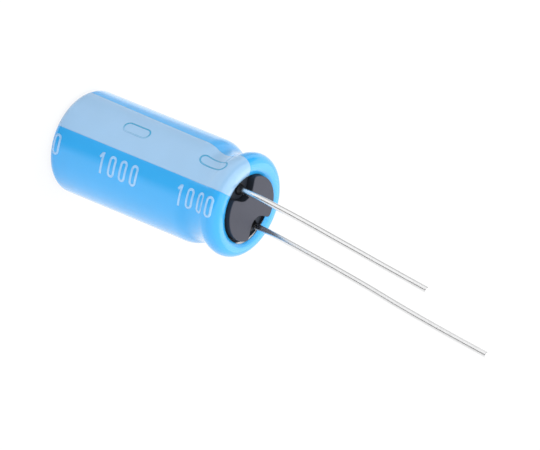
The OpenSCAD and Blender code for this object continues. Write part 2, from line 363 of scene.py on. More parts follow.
def bead_arc(out, rows):
    """The hollow of the bead, from the shoulder to the rim, at a distance out from the bare metal."""
    arcs = can_arcs()
    return arc(arcs["bead"], settings().can.bead_radius - out, math.pi + arcs["shoulder_end"],
               math.pi + arcs["curl_start"], rows)


def rim_arc(out, start, end, rows):
    """A part of the curled rim, at a distance out from the bare metal."""
    return arc(can_arcs()["curl"], settings().can.curl_radius + out, start, end, rows)


def bareness(azimuth):
    """How bare the lip is, from 0 to 1: exp(-(angle / spread)^2), measured from the bare part's middle."""
    sleeve = settings().sleeve
    away = (azimuth - sleeve.bare_azimuth + math.pi) % (2 * math.pi) - math.pi
    return np.exp(-(away / sleeve.bare_spread) ** 2)


def opening_radius(azimuth):
    """Radius of the film's opening: a circle that lies off centre, r = radius + shift * cos(a - direction).

    Where the lip is bare the edge is drawn back. Two small waves are added for the cut edge.
    """
    sleeve = settings().sleeve
    waver = np.sin(5 * azimuth + 0.4) + 0.6 * np.sin(11 * azimuth)
    return (sleeve.opening_radius + sleeve.opening_shift * np.cos(azimuth - sleeve.opening_azimuth)
            + sleeve.bare_depth * bareness(azimuth) + sleeve.opening_waver * waver)


def looseness(azimuth):
    """Height at which the film stands off the rim: half of loose * (1 + cos(a - direction))."""
    sleeve = settings().sleeve
    return sleeve.loose * (0.5 + 0.5 * np.cos(azimuth - sleeve.loose_azimuth))


def side_rows(out, tuck, past_top, azimuth=None, detail=1.0):
    """The side of the can as rows x columns x 2 of (r, z), at a distance out from the bare metal.

    It runs up from an angle tuck round the closed end's corner, along the straight wall, round the shoulder,
    through the bead and over the rim to an angle past_top, which may differ from column to column. Past the
    rim's top the arc is stretched in r, to reach the film's opening at the angle of the film's wrap.
    Film stands off the rim by a height that grows from nothing at the rim's widest place to all of the
    looseness at its top. Both need the azimuth of each column, and are left out without it.
    """
    can, arcs = settings().can, can_arcs()
    past_top = np.atleast_1d(past_top)
    columns = len(past_top)

    def rows(count):
        return max(2, int(count * detail))

    corner = arc(arcs["corner"], can.corner_radius + out, -tuck, 0, rows(24))
    shoulder = shoulder_arc(out, rows(24))
    bead = bead_arc(out, rows(36))
    rim = rim_arc(out, arcs["curl_start"], math.pi / 2, rows(30))
    inner = rim_arc(out, math.pi / 2, math.pi / 2 + past_top, rows(20))
    if azimuth is not None:
        reach = (can.curl_radius + out) * math.sin(settings().sleeve.wrap)
        stretch = (arcs["curl"][0] - opening_radius(azimuth)) / reach
        inner[..., 0] = arcs["curl"][0] + (inner[..., 0] - arcs["curl"][0]) * stretch
        raised = smooth_step((rim[..., 1] - arcs["curl"][1]) / (can.curl_radius + out))
        rim = np.broadcast_to(rim, (len(rim), columns, 2)).copy()
        rim[..., 1] += raised * looseness(azimuth)
        inner[..., 1] += looseness(azimuth)
    share = np.linspace(0, 1, rows(60))[1:-1, None, None]
    wall = corner[-1:] + (shoulder[:1] - corner[-1:]) * share
    parts = [corner, wall, shoulder, bead[1:], rim[1:], inner[1:]]
    return np.concatenate([np.broadcast_to(part, (len(part), columns, 2)) for part in parts])


def hollow(z):
    """Depth of the bead at a height z: how far the film's outer surface would follow it in, from 0 up.

    On the arcs from the shoulder to the rim's widest place it is outer radius - r, and 0 beyond them.
    """
    parts = [shoulder_arc(FILM, 40), bead_arc(FILM, 60), rim_arc(FILM, can_arcs()["curl_start"], 0, 40)]
    r, height = np.concatenate(parts)[:, 0].T
    return np.interp(z, height, CAN_RADIUS + FILM - r, left=0, right=0)


def ripple(azimuth, z):
    """Depth by which the film lies inside its even profile, below 0 where it bridges the bead.

    Shallow flats are a slow wave round the can times a slow wave along it, and a weaker wave that winds up
    round it. Fine pleats are a quick wave round the can, within a bell-shaped band at the bead. Where the
    film bridges the bead it stands off by bridge * (0.5 + 0.5 cos(a - direction))^focus of its depth.
    """
    sleeve, bead = settings().sleeve, can_arcs()["bead"]
    turn = 2 * math.pi / FLATS_LENGTH
    flats = (np.sin(2 * azimuth + 0.6) * np.sin(turn * z + 1.0)
             + 0.6 * np.sin(3 * azimuth - 1.1 + 0.4 * turn * z))
    band = np.exp(-((z - bead[1]) / PLEAT_BAND) ** 2)
    pleats = np.sin(PLEAT_COUNT * azimuth + 1.7 * np.sin(3 * azimuth)) * band
    side = 0.5 + 0.5 * np.cos(azimuth - sleeve.bridge_azimuth)
    bridge = sleeve.bridge * side ** BRIDGE_FOCUS * hollow(z)
    return sleeve.ripple * (0.5 + 0.3 * flats) + sleeve.pleat * (0.5 + 0.5 * pleats) - bridge


def spun(section, azimuth):
    """Points (r cos a, r sin a, z) from a section of (r, z) and the azimuth of each column."""
    r, z = section[..., 0], section[..., 1]
    return np.stack(np.broadcast_arrays(r * np.cos(azimuth), r * np.sin(azimuth), z), axis=-1)


def turned(section, azimuth):
    """A section of the film or its ink spun round the can, with the film's ripple taken off r."""
    r = section[..., 0] - ripple(azimuth, section[..., 1])
    return spun(np.stack([r, section[..., 1]], axis=-1), azimuth)


def direction(azimuth):
    """Level directions (cos a, sin a), one for each azimuth."""
    return np.stack([np.cos(azimuth), np.sin(azimuth)], axis=-1)


def ring_azimuths(columns):
    return np.linspace(0, 2 * math.pi, columns, endpoint=False)


def faces_of_grid(rows, columns, wrap_rows=False, wrap_columns=False):
    """Quads between neighbours of a rows x columns grid whose points are numbered row by row."""
    index = np.arange(rows * columns).reshape(rows, columns)
    if wrap_rows:
        index = np.concatenate([index, index[:1]])
    if wrap_columns:
        index = np.concatenate([index, index[:, :1]], axis=1)
    quads = np.stack([index[:-1, :-1], index[:-1, 1:], index[1:, 1:], index[1:, :-1]], axis=-1)
    return quads.reshape(-1, 4)


def tube_faces(rows, columns, first=0):
    """Faces of a tube of rings, numbered ring by ring from first, with a flat face over each end."""
    rings = np.arange(first, first + rows * columns).reshape(rows, columns)
    side = faces_of_grid(rows, columns, wrap_columns=True) + first
    return [*side.tolist(), rings[-1].tolist(), rings[0][::-1].tolist()]


def linked(name, data):
    """An object in the scene."""
    made = bpy.data.objects.new(name, data)
    bpy.context.scene.collection.objects.link(made)
    return made


def new_piece(name, points, faces, material):
    """A smooth object at the origin from an array of points and lists of faces, which are turned outwards."""
    mesh = bpy.data.meshes.new(name)
    mesh.from_pydata(np.asarray(points, float).reshape(-1, 3).tolist(), [], faces)
    mesh.validate()
    piece = linked(name, mesh)
    point_outwards(mesh)
    mesh.polygons.foreach_set("use_smooth", np.full(len(mesh.polygons), True))
    mesh.materials.append(material)
    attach(piece, BODY)
    return piece


def point_outwards(mesh):
    """Makes the faces of each closed shell agree, and point out of it."""
    shell = bmesh.new()
    shell.from_mesh(mesh)
    bmesh.ops.recalc_face_normals(shell, faces=shell.faces)
    shell.to_mesh(mesh)
    shell.free()


def layer_faces(rows, columns, wrap_columns=False):
    """Faces of a thin closed layer: an upper grid, a lower grid numbered after it, and the edges between."""
    count = rows * columns
    upper = faces_of_grid(rows, columns, wrap_columns=wrap_columns)
    lower = upper[:, ::-1] + count
    index = np.arange(count).reshape(rows, columns)
    borders = [index[0], index[-1][::-1]]
    if wrap_columns:
        borders = [np.append(border, border[0]) for border in borders]
    else:
        borders += [index[:, 0][::-1], index[:, -1]]
    edges = [np.stack([b[:-1], b[:-1] + count, b[1:] + count, b[1:]], axis=1) for b in borders]
    return np.concatenate([upper, lower, *edges])


# Node groups and materials

SURFACE = (("Colour", "NodeSocketColor"), ("Roughness", "NodeSocketFloat"), ("Normal", "NodeSocketVector"))


def node(tree, kind, place, *first, **values):
    """A node with its properties and inputs set, or linked where a value is another node's socket.

    The first values go to its inputs in their order, and the others by name, with _ for a space.
    """
    made = tree.nodes.new(kind)
    made.location = place
    for key, value in [*values.items(), *enumerate(first)]:
        label = key.replace("_", " ") if isinstance(key, str) else key
        if isinstance(key, str) and label not in made.inputs:
            setattr(made, key, value)
        elif isinstance(value, bpy.types.NodeSocket):
            tree.links.new(value, made.inputs[label])
        else:
            made.inputs[label].default_value = value
    return made


def object_place(tree, place):
    return node(tree, "ShaderNodeTexCoord", place).outputs["Object"]


def maths(tree, place, operation, *values, **options):
    return node(tree, "ShaderNodeMath", place, *values, operation=operation, **options).outputs[0]


def map_range(tree, place, value, **limits):
    return node(tree, "ShaderNodeMapRange", place, **limits, Value=value).outputs[0]


def noise(tree, place, vector, scale, detail):
    return node(tree, "ShaderNodeTexNoise", place, Vector=vector, Scale=scale, Detail=detail).outputs["Fac"]


def mixed(tree, place, factor, a, b, kind="RGBA"):
    """a where the factor is 0 and b where it is 1."""
    return node(tree, "ShaderNodeMix", place, data_type=kind, Factor=factor, A=a, B=b).outputs["Result"]


def shaded(tree, place, tint, level):
    """A colour times a level."""
    return node(tree, "ShaderNodeVectorMath", place, tint, operation="SCALE", Scale=level).outputs[0]


def bumped(tree, place, strength, height, distance):
    return node(tree, "ShaderNodeBump", place, Distance=distance, Strength=strength, Height=height).outputs[0]


def new_group(name, outputs, **inputs):
    """A node group and the sockets that give its inputs, which are named with _ for a space.

    An input is a colour where its default is one, and else a plain number.
    """
    tree = bpy.data.node_groups.new(name, "ShaderNodeTree")
    for key, default in inputs.items():
        kind = "NodeSocketColor" if isinstance(default, tuple) else "NodeSocketFloat"
        socket = tree.interface.new_socket(key.replace("_", " "), in_out="INPUT", socket_type=kind)
        socket.default_value = default
    for label, kind in outputs:
        tree.interface.new_socket(label, in_out="OUTPUT", socket_type=kind)
    return tree, node(tree, "NodeGroupInput", (-1300, 0)).outputs


def glossy_print_group():
    """Colour, roughness and normal of a glossy printed film: faint mottling and very fine orange peel."""
    name = "Glossy printed film"
    if name in bpy.data.node_groups:
        return bpy.data.node_groups[name]
    tree, given = new_group(name, SURFACE, Colour=(0.5, 0.5, 0.5, 1), Mottle=0.04, Roughness=0.2, Peel=0.1)
    place = object_place(tree, (-900, 0))
    clouds = noise(tree, (-700, 200), place, scale=420.0, detail=3.0)
    grain = noise(tree, (-700, -200), place, scale=2600.0, detail=2.0)
    swing = maths(tree, (-500, 200), "SUBTRACT", clouds, 0.5)
    mottle = maths(tree, (-300, 200), "MULTIPLY", swing, given["Mottle"])
    level = maths(tree, (-100, 200), "ADD", mottle, 1.0)
    shade = shaded(tree, (100, 200), given["Colour"], level)
    rough = maths(tree, (100, 0), "MULTIPLY", given["Roughness"], level)
    peel = bumped(tree, (100, -200), given["Peel"], grain, distance=0.004 * MM)
    node(tree, "NodeGroupOutput", (300, 0), Colour=shade, Roughness=rough, Normal=peel)
    return tree


def worn_print_group():
    """Mixes a print's colour into the colour under it.

    The density falls with Y, by less and less up to a height at which it no longer does. Clouds break it up.
    """
    name = "Worn print"
    if name in bpy.data.node_groups:
        return bpy.data.node_groups[name]
    tree, given = new_group(name, SURFACE[:1], Print=(0.5, 0.5, 0.5, 1), Under=(0.2, 0.2, 0.2, 1),
                            Density=1.0, Fade=0.0, Wear=0.3, Fade_top=1.0)
    place = object_place(tree, (-900, 0))
    parts = node(tree, "ShaderNodeSeparateXYZ", (-700, 200), place).outputs
    clouds = noise(tree, (-700, -100), place, scale=2200.0, detail=3.0)
    across = maths(tree, (-500, 200), "DIVIDE", parts["Y"], 1.0 * MM)
    lower = map_range(tree, (-500, 350), parts["Z"], From_Max=given["Fade top"], To_Min=1.0, To_Max=0.0)
    strength = maths(tree, (-350, 350), "MULTIPLY", lower, given["Fade"])
    fade = maths(tree, (-350, 200), "MULTIPLY", across, strength)
    wear = maths(tree, (-350, -100), "MULTIPLY", clouds, given["Wear"])
    thin = maths(tree, (-200, 100), "SUBTRACT", given["Density"], fade)
    left = maths(tree, (-50, 0), "SUBTRACT", thin, wear, use_clamp=True)
    colour_left = mixed(tree, (100, 0), left, given["Under"], given["Print"])
    node(tree, "NodeGroupOutput", (300, 0), Colour=colour_left)
    return tree


def metal_group():
    """Colour, roughness and normal of drawn metal: long fine draw lines and cloudy dull patches."""
    name = "Drawn metal"
    if name in bpy.data.node_groups:
        return bpy.data.node_groups[name]
    tree, given = new_group(name, SURFACE, Colour=(0.8, 0.8, 0.8, 1), Dulling=0.12, Roughness=0.2, Lines=0.1)
    place = object_place(tree, (-1100, 0))
    along = node(tree, "ShaderNodeMapping", (-900, -200), Vector=place, Scale=(1.0, 1.0, 0.03)).outputs[0]
    clouds = noise(tree, (-700, 200), place, scale=900.0, detail=4.0)
    lines = noise(tree, (-700, -200), along, scale=9000.0, detail=2.0)
    dull = maths(tree, (-500, 200), "MULTIPLY", clouds, given["Dulling"])
    level = maths(tree, (-300, 200), "SUBTRACT", 1.0, dull)
    shade = shaded(tree, (-100, 200), given["Colour"], level)
    rough = maths(tree, (-100, 0), "ADD", given["Roughness"], dull)
    drawn = bumped(tree, (-100, -200), given["Lines"], lines, distance=0.002 * MM)
    node(tree, "NodeGroupOutput", (100, 0), Colour=shade, Roughness=rough, Normal=drawn)
    return tree


def rubber_group():
    """Colour, roughness and normal of moulded rubber: grain, faint bloom and a few pale specks of dust.

    The shade colour, painted shade on the bung's recesses and groove, goes over into the colour between two
    heights.
    """
    name = "Moulded rubber"
    if name in bpy.data.node_groups:
        return bpy.data.node_groups[name]
    tree, given = new_group(name, SURFACE, Colour=(0.1, 0.1, 0.1, 1), Bloom=0.2, Dust=(0.5, 0.5, 0.5, 1),
                            Grain=0.3, Low_colour=(0.02, 0.02, 0.02, 1), Low=-1.0, High=-0.9)
    clean_share = 0.86
    place = object_place(tree, (-1100, 0))
    clouds = noise(tree, (-800, 300), place, scale=500.0, detail=4.0)
    specks = node(tree, "ShaderNodeTexVoronoi", (-800, 0), Vector=place, Scale=1500.0).outputs
    grain = noise(tree, (-800, -300), place, scale=6000.0, detail=3.0)
    bloom = maths(tree, (-600, 300), "MULTIPLY_ADD", clouds, given["Bloom"], 0.9)
    parts = node(tree, "ShaderNodeSeparateXYZ", (-800, 500), place).outputs
    # Below the face the shade colour goes in, which on the bung is painted shade.
    face = map_range(tree, (-600, 500), parts["Z"], From_Min=given["Low"], From_Max=given["High"])
    base = mixed(tree, (-500, 400), face, given["Low colour"], given["Colour"])
    shade = shaded(tree, (-400, 300), base, bloom)
    dots = map_range(tree, (-600, 0), specks["Distance"], From_Min=0.10, From_Max=0.05)
    draw = node(tree, "ShaderNodeSeparateColor", (-750, -150), specks["Color"]).outputs[0]
    rare = maths(tree, (-600, -150), "GREATER_THAN", draw, clean_share)
    dusty = maths(tree, (-400, 0), "MULTIPLY", dots, rare)
    face_colour = mixed(tree, (-200, 200), dusty, shade, given["Dust"])
    rough = map_range(tree, (-200, 0), clouds, To_Min=0.42, To_Max=0.6)
    grained = bumped(tree, (-200, -300), given["Grain"], grain, distance=0.01 * MM)
    node(tree, "NodeGroupOutput", (100, 0), Colour=face_colour, Roughness=rough, Normal=grained)
    return tree


def weld_group():
    """Mixes a colour and a roughness into others by height: all of them at the start, none at the end."""
    name = "Dull round the weld"
    if name in bpy.data.node_groups:
        return bpy.data.node_groups[name]
    tree, given = new_group(name, SURFACE[:2], Colour=(0.8, 0.8, 0.8, 1), Roughness=0.2,
                            Dull_colour=(0.1, 0.1, 0.1, 1), Dull_roughness=0.5, Start=0.0, End=1.0)
    # The dull colour is painted shade on dull weld metal, dark near the rods in their recesses.
    place = object_place(tree, (-900, 0))
    parts = node(tree, "ShaderNodeSeparateXYZ", (-700, 0), place).outputs
    clouds = noise(tree, (-900, -300), place, scale=3500.0, detail=3.0)
    shifted = maths(tree, (-600, -200), "MULTIPLY_ADD", clouds, 0.2 * MM, parts["Z"])
    mask = map_range(tree, (-400, 0), shifted, interpolation_type="SMOOTHSTEP", From_Min=given["Start"],
                     From_Max=given["End"], To_Min=1.0, To_Max=0.0)
    tint = mixed(tree, (-200, 100), mask, given["Colour"], given["Dull colour"])
    rough = mixed(tree, (-200, -100), mask, given["Roughness"], given["Dull roughness"], "FLOAT")
    node(tree, "NodeGroupOutput", (0, 0), Colour=tint, Roughness=rough)
    return tree


def new_material(name, group, group_values, **principled):
    """A Principled material whose colour, roughness and normal come from a node group."""
    material = bpy.data.materials.new(name)
    material.use_nodes = True
    tree = material.node_tree
    shader = tree.nodes["Principled BSDF"]
    effect = node(tree, "ShaderNodeGroup", (-300, 0), node_tree=group, **group_values)
    for label, target in (("Colour", "Base Color"), ("Roughness", "Roughness"), ("Normal", "Normal")):
        tree.links.new(effect.outputs[label], shader.inputs[target])
    for key, value in principled.items():
        shader.inputs[key.replace("_", " ")].default_value = value
    return material


def group_node(tree):
    """The node group that a material began with."""
    return next(item for item in tree.nodes if item.type == "GROUP")


def rgba(value):
    return (*value, 1)


def film_material(name, value, mottle=0.05):
    """Glossy film or ink: a coloured layer under a clear coat."""
    return new_material(name, glossy_print_group(),
                        {"Colour": rgba(value), "Mottle": mottle, "Roughness": 0.2, "Peel": 0.12},
                        IOR=1.5, Coat_Weight=0.7, Coat_Roughness=0.14, Coat_IOR=1.5)


def print_material(name, value, under, density, fade, wear, fade_top=1.0):
    """Glossy film with worn print on it."""
    made = film_material(name, value)
    tree = made.node_tree
    film = group_node(tree)
    worn = node(tree, "ShaderNodeGroup", (-600, 0), node_tree=worn_print_group(), Print=rgba(value),
                Under=rgba(under), Density=density, Fade=fade, Wear=wear, Fade_top=fade_top)
    tree.links.new(worn.outputs["Colour"], film.inputs["Colour"])
    return made


def metal_material(name, value, rough, dulling=0.1, lines=0.2):
    return new_material(name, metal_group(),
                        {"Colour": rgba(value), "Dulling": dulling, "Roughness": rough, "Lines": lines},
                        Metallic=1.0)


def dull_and_shade_at_weld(material, leads, start, end):
    """Puts the weld's dull metal and painted shade between the metal's node group and the shader, from a
    height to another.
    """
    tree = material.node_tree
    metal = group_node(tree)
    weld = node(tree, "ShaderNodeGroup", (-150, 0), node_tree=weld_group(), Dull_colour=rgba(leads.weld),
                Dull_roughness=0.5, Start=start, End=end)
    for label, target in (("Colour", "Base Color"), ("Roughness", "Roughness")):
        tree.links.new(metal.outputs[label], weld.inputs[label])
        tree.links.new(weld.outputs[label], tree.nodes["Principled BSDF"].inputs[target])


def dress_cad_node(name, material):
    """Gives a CAD node that stays in view its procedural material."""
    mesh = frame["nodes"][name].data
    mesh.materials.clear()
    mesh.materials.append(material)


# The pieces

class CAPACITOR_OT_sleeve(bpy.types.Operator):
    """Makes the shrunk plastic sleeve"""
    bl_idname = "capacitor.sleeve"
    bl_label = "Sleeve"

    def execute(self, context):
        sleeve = settings().sleeve
        azimuth = ring_azimuths(320)
        arcs = can_arcs()
        foot = sleeve.foot + sleeve.foot_waver * (np.sin(7 * azimuth) + 0.7 * np.sin(12 * azimuth + 1)) / 1.7
        foot_edge = arcs["corner"][0] - foot
        wrap = np.full_like(azimuth, sleeve.wrap)
        outer = side_rows(FILM, math.pi / 2, wrap, azimuth)
        edge = outer[-1]
        backed = np.arctan2(arcs["curl"][0] - edge[:, 0], edge[:, 1] - arcs["curl"][1])
        inner = side_rows(0, math.pi / 2, backed, detail=0.4)[::-1]
        under = [np.stack([foot_edge, np.full_like(foot_edge, z)], axis=1)[None] for z in (FILM, 0.0)]
        section = np.concatenate([outer, inner, *under])
        points = turned(section, azimuth[None, :])
        faces = faces_of_grid(*section.shape[:2], wrap_rows=True, wrap_columns=True)
        piece = new_piece("sleeve_film", points, faces, film_material("Blue film", sleeve.colour))
        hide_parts("sleeve")
        return {"FINISHED"}


class CAPACITOR_OT_stripe(bpy.types.Operator):
    """Makes the pale stripe that marks the cathode side"""
    bl_idname = "capacitor.stripe"
    bl_label = "Polarity Stripe"

    def execute(self, context):
        ink, sleeve = settings().ink, settings().sleeve
        azimuth = np.linspace(-0.5, 0.5, 64) * ink.stripe_angle
        drawn_in = np.linspace(ink.stripe_skew, 0, 64)
        past_top = np.full_like(azimuth, sleeve.wrap - ink.stripe_gap)
        section = side_rows(FILM, ink.stripe_tuck, past_top, azimuth + drawn_in)
        azimuth = azimuth + drawn_in * np.clip(section[..., 1] / ink.stripe_skew_run, 0, 1)
        layers = [lifted(section, azimuth, height) for height in (INK_LIFT, INK_SUNK)]
        piece = new_piece("stripe_ink", np.concatenate(layers), layer_faces(*section.shape[:2]),
                          film_material("Pale ink", ink.stripe_colour, mottle=0.06))
        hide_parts("polarity_stripe")
        return {"FINISHED"}


def lifted(section, azimuth, height):
    """Points at a height off the film's outer surface, along the normal of its section.

    The normal is the section's direction turned right by a right angle: (dz, -dr) over its length.
    """
    normal = -unit(turned_left(np.gradient(section, axis=0)))
    return turned(section + normal * height, azimuth)


class FilmMap:
    """Places a flat drawing on the film: s along the can, measured from its closed end, and an azimuth."""

    def __init__(self):
        corner = can_arcs()["corner"]
        self.rows = side_rows(FILM, math.pi / 2, np.array([settings().sleeve.wrap]), detail=4)[:, 0]
        distance = walked(self.rows)
        corner_end = distance[np.argmin(np.abs(self.rows[:, 1] - corner[1]))]
        self.s = distance - corner_end + corner[1]
        self.normal = -turned_left(np.gradient(self.rows, self.s, axis=0))

    def s_at_height(self, z):
        """Distance along the film of a height z, below the top of the rim."""
        top = np.argmax(self.rows[:, 1])
        return np.interp(z, self.rows[:top, 1], self.s[:top])

    def points(self, s, azimuth, height):
        """Points at a height off the film."""
        section = [np.interp(s, self.s, self.rows[:, i] + height * self.normal[:, i]) for i in (0, 1)]
        return turned(np.stack(section, axis=-1), azimuth)


def stroke(path, width, closed):
    """A line of some width along a flat path, as rows (along) x 3 columns (across) of (x, y).

    Each point is moved sideways by a share of the width along the normal, which is the path's direction
    turned left by a right angle.
    """
    along = around(path) if closed else np.gradient(path, axis=0)
    across = np.array([-0.5, 0.0, 0.5]) * width
    return path[:, None, :] + unit(turned_left(along))[:, None, :] * across[None, :, None]


def rounded_box(width, height, radius, count=120):
    """A closed path round a box with round corners, as count points at even distances."""
    half = np.array([width, height]) / 2 - radius
    turn = np.linspace(0, math.pi / 2, 16)
    signs = ((1, 1), (-1, 1), (-1, -1), (1, -1))
    corners = [np.stack([sx * half[0] + radius * np.cos(turn + i * math.pi / 2),
                         sy * half[1] + radius * np.sin(turn + i * math.pi / 2)], axis=1)
               for i, (sx, sy) in enumerate(signs)]
    return evenly(np.concatenate([*corners, corners[0][:1]]), count)


def straight(start, end, count=24):
    share = np.linspace(0, 1, count)[:, None]
    return np.array(start) * (1 - share) + np.array(end) * share


def digit_strokes(digit, width, height, line):
    """Strokes of a digit, each a flat path and whether it is closed, about the middle of the digit."""
    w, h = (width - line) / 2, (height - line) / 2
    if digit == "0":
        return [(rounded_box(2 * w, 2 * h, w), True)]
    if digit == "1":
        stem = w * 0.35
        return [(straight((stem, -h - line / 2), (stem, h + line / 2)), False),
                (straight((-w * 0.75, h * 0.55), (stem - line * 0.3, h + line * 0.15), 12), False)]
    raise ValueError(f"no strokes are drawn for the digit {digit!r}")


def print_layer(name, drawings, lift, material):
    """One piece of ink from several strokes, each given as s, azimuth and whether it is closed."""
    film = FilmMap()
    points, faces, count = [], [], 0
    for s, azimuth, closed in drawings:
        rows, columns = s.shape
        for height in (lift, INK_SUNK):
            points.append(np.swapaxes(film.points(s, azimuth, height), 0, 1).reshape(-1, 3))
        faces.append(layer_faces(columns, rows, wrap_columns=closed) + count)
        count += 2 * rows * columns
    return new_piece(name, np.concatenate(points), np.concatenate(faces).tolist(), material)


class CAPACITOR_OT_minus_marks(bpy.types.Operator):
    """Makes the minus signs in outline on the stripe"""
    bl_idname = "capacitor.minus_marks"
    bl_label = "Minus Marks"

    def execute(self, context):
        ink = settings().ink
        film = FilmMap()
        outline = rounded_box(ink.mark_length - ink.mark_line, ink.mark_width - ink.mark_line,
                              (ink.mark_width - ink.mark_line) / 2)
        flat = stroke(outline, ink.mark_line, closed=True)
        drawings = []
        for i in range(MARK_COUNT):
            z = RIM_TOP - ink.mark_drop - i * ink.mark_pitch + flat[..., 0]
            drawings.append((film.s_at_height(z), flat[..., 1] / (CAN_RADIUS + FILM), True))
        teal = print_material("Teal ink", ink.mark_colour, ink.stripe_colour, density=1.0, fade=2.3, wear=0.3,
                              fade_top=RIM_TOP - ink.mark_drop)
        piece = print_layer("minus_ink", drawings, MARK_LIFT, teal)
        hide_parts("minus_marks")
        return {"FINISHED"}


class CAPACITOR_OT_numbers(bpy.types.Operator):
    """Makes the plain numbers printed beside the stripe"""
    bl_idname = "capacitor.numbers"
    bl_label = "Numbers"

    def execute(self, context):
        ink = settings().ink
        last = len(ink.digits) - 1
        drawings = []
        for copy in range(NUMBER_COUNT):
            for place, digit in enumerate(ink.digits):
                if copy == 0 and place < last:
                    continue
                middle = (ink.number_end + copy * ink.number_pitch - ink.digit_width / 2
                          - (last - place) * ink.digit_pitch)
                for path, closed in digit_strokes(digit, ink.digit_width, ink.digit_height, ink.digit_line):
                    flat = stroke(path, ink.digit_line, closed)
                    azimuth = ink.number_azimuth - flat[..., 1] / (CAN_RADIUS + FILM)
                    drawings.append((middle + flat[..., 0], azimuth, closed))
        white = print_material("White ink", ink.number_colour, settings().sleeve.colour, density=1.1,
                               fade=0.0, wear=0.7)
        print_layer("number_ink", drawings, INK_LIFT, white)
        return {"FINISHED"}


class CAPACITOR_OT_can(bpy.types.Operator):
    """Finishes the bare can and makes its smooth curled lip"""
    bl_idname = "capacitor.can"
    bl_label = "Can"

    def execute(self, context):
        can = settings().can
        metal = metal_material("Bare aluminium", can.metal, rough=0.22)
        dress_cad_node("can", metal)
        skin = 0.004 * MM
        centre = can_arcs()["curl"]
        start, end = math.pi / 2, math.pi / 2 + can.curl_wrap
        middle, half = can.curl_radius - can.wall / 2, can.wall / 2 + skin
        outer = arc(centre, middle + half, start, end, 40)
        tip = (centre[0] + middle * math.cos(end), centre[1] + middle * math.sin(end))
        nose = arc(tip, half, end, end + math.pi, 16)[1:-1]
        inner = arc(centre, middle - half, end, start, 40)
        points = spun(np.concatenate([outer, nose, inner]), ring_azimuths(256))
        faces = faces_of_grid(*points.shape[:2], wrap_rows=True, wrap_columns=True)
        new_piece("can_lip", points, faces, metal)
        return {"FINISHED"}


def land_outline(count=720):
    """The outline of the land: a circle with a recess cut into it at each lead.

    A recess is an arc round the lead that runs on in straight sides, which flare out to the circle.
    The corners are eased by averaging each point with its neighbours, under a bell-shaped window.
    """
    bung = settings().bung
    turn = math.pi / 2 + bung.recess_flare
    tangent = np.array([LEAD_X + bung.recess_radius * math.cos(turn), bung.recess_radius * math.sin(turn)])
    way = np.array([math.cos(bung.recess_flare), math.sin(bung.recess_flare)])
    side = -tangent @ way + math.sqrt((tangent @ way) ** 2 - tangent @ tangent + bung.land_radius ** 2)
    corner = tangent + way * side
    start = math.atan2(corner[1], corner[0])
    top = arc((0, 0), bung.land_radius, start, math.pi - start, 240)[:, 0]
    mirror = np.array([-1, 1])
    down = straight(corner * mirror, tangent * mirror, 60)
    recess = arc((-LEAD_X, 0), bung.recess_radius, math.pi - turn, turn - math.pi, 160)[:, 0]
    half = np.concatenate([top, down[1:], recess[1:], (down * np.array([1, -1]))[::-1][1:-1]])
    loop = np.concatenate([half, -half, half[:1]])
    path = evenly(loop, count)
    reach = int(bung.corner_ease / walked(loop)[-1] * count / 2)
    window = np.hanning(2 * reach + 3)[1:-1]
    window /= window.sum()
    return sum(weight * np.roll(path, shift, axis=0)
               for weight, shift in zip(window, range(-reach, reach + 1)))


def land_surface(floor):
    """The land as rings x columns x 3, from below the floor of the recesses to the middle of its face.

    Round its edge the outline moves in by edge + edge * cos a at the height top - edge + edge * sin a, with
    a from a half turn to a quarter turn. The last rings are shares of the outline.
    """
    bung = settings().bung
    buried, foot = 0.2 * MM, 0.08 * MM
    path = land_outline()
    inward = unit(turned_left(around(path)))
    turn = np.linspace(math.pi, math.pi / 2, 9)
    edge = bung.edge_radius
    inset = np.concatenate([[-bung.draft, -bung.draft * 0.4], edge + edge * np.cos(turn), [edge * 1.3]])
    sides = path[None] + inward[None] * inset[:, None, None]
    shares = np.array([0.85, 0.6, 0.3, 0.06])
    flat = np.concatenate([sides, sides[-1] * shares[:, None, None]])
    height = np.concatenate([[floor - buried, floor + foot], LAND_TOP - edge + edge * np.sin(turn),
                             np.full(1 + len(shares), LAND_TOP)])
    return np.concatenate([flat, np.broadcast_to(height[:, None, None], (*flat.shape[:2], 1))], axis=2)


def bung_section(floor, azimuth):
    """The bung's body as rows x columns x 2 of (r, z), from the middle of its underside to that of its floor.

    It fills the can's throat and curl up to the lip, dips in a groove and runs in under the land. The
    groove's depth is groove * sin(pi * share^0.8), with the share of the way from the lip to the land.
    """
    bung, can, arcs = settings().bung, settings().can, can_arcs()
    middle, lip_gap, bed_inset, under_land = 0.6 * MM, 0.03 * MM, 0.05 * MM, 0.3 * MM
    past_top = math.pi / 2 + bung.squeeze
    throat = bead_arc(-can.wall, 24)[:, 0]
    inside = rim_arc(-can.wall, arcs["curl_start"], past_top, 24)[1:, 0]
    lip = rim_arc(0, past_top, math.pi, 2)[0]
    outer = lip[0, 0] - lip_gap - bung.cover * (1 - bareness(azimuth))
    bed = bung.land_radius - bed_inset
    share = np.linspace(0, 1, 14)[:, None]
    depth = np.sin(math.pi * share ** 0.8) * bung.groove
    groove = np.stack(np.broadcast_arrays(outer + (bed - outer) * share,
                                          lip[0, 1] + (floor - lip[0, 1]) * share - depth), axis=2)
    underside = np.array([[middle, bung.bottom], [arcs["shoulder"][0], bung.bottom]])
    under_floor = np.array([[bung.land_radius - under_land, floor], [middle, floor]])

    def all_round(row):
        return np.broadcast_to(row[:, None], (len(row), len(azimuth), 2))

    rows = [all_round(row) for row in (underside, throat, inside, lip)]
    return np.concatenate([*rows, groove, all_round(under_floor)])


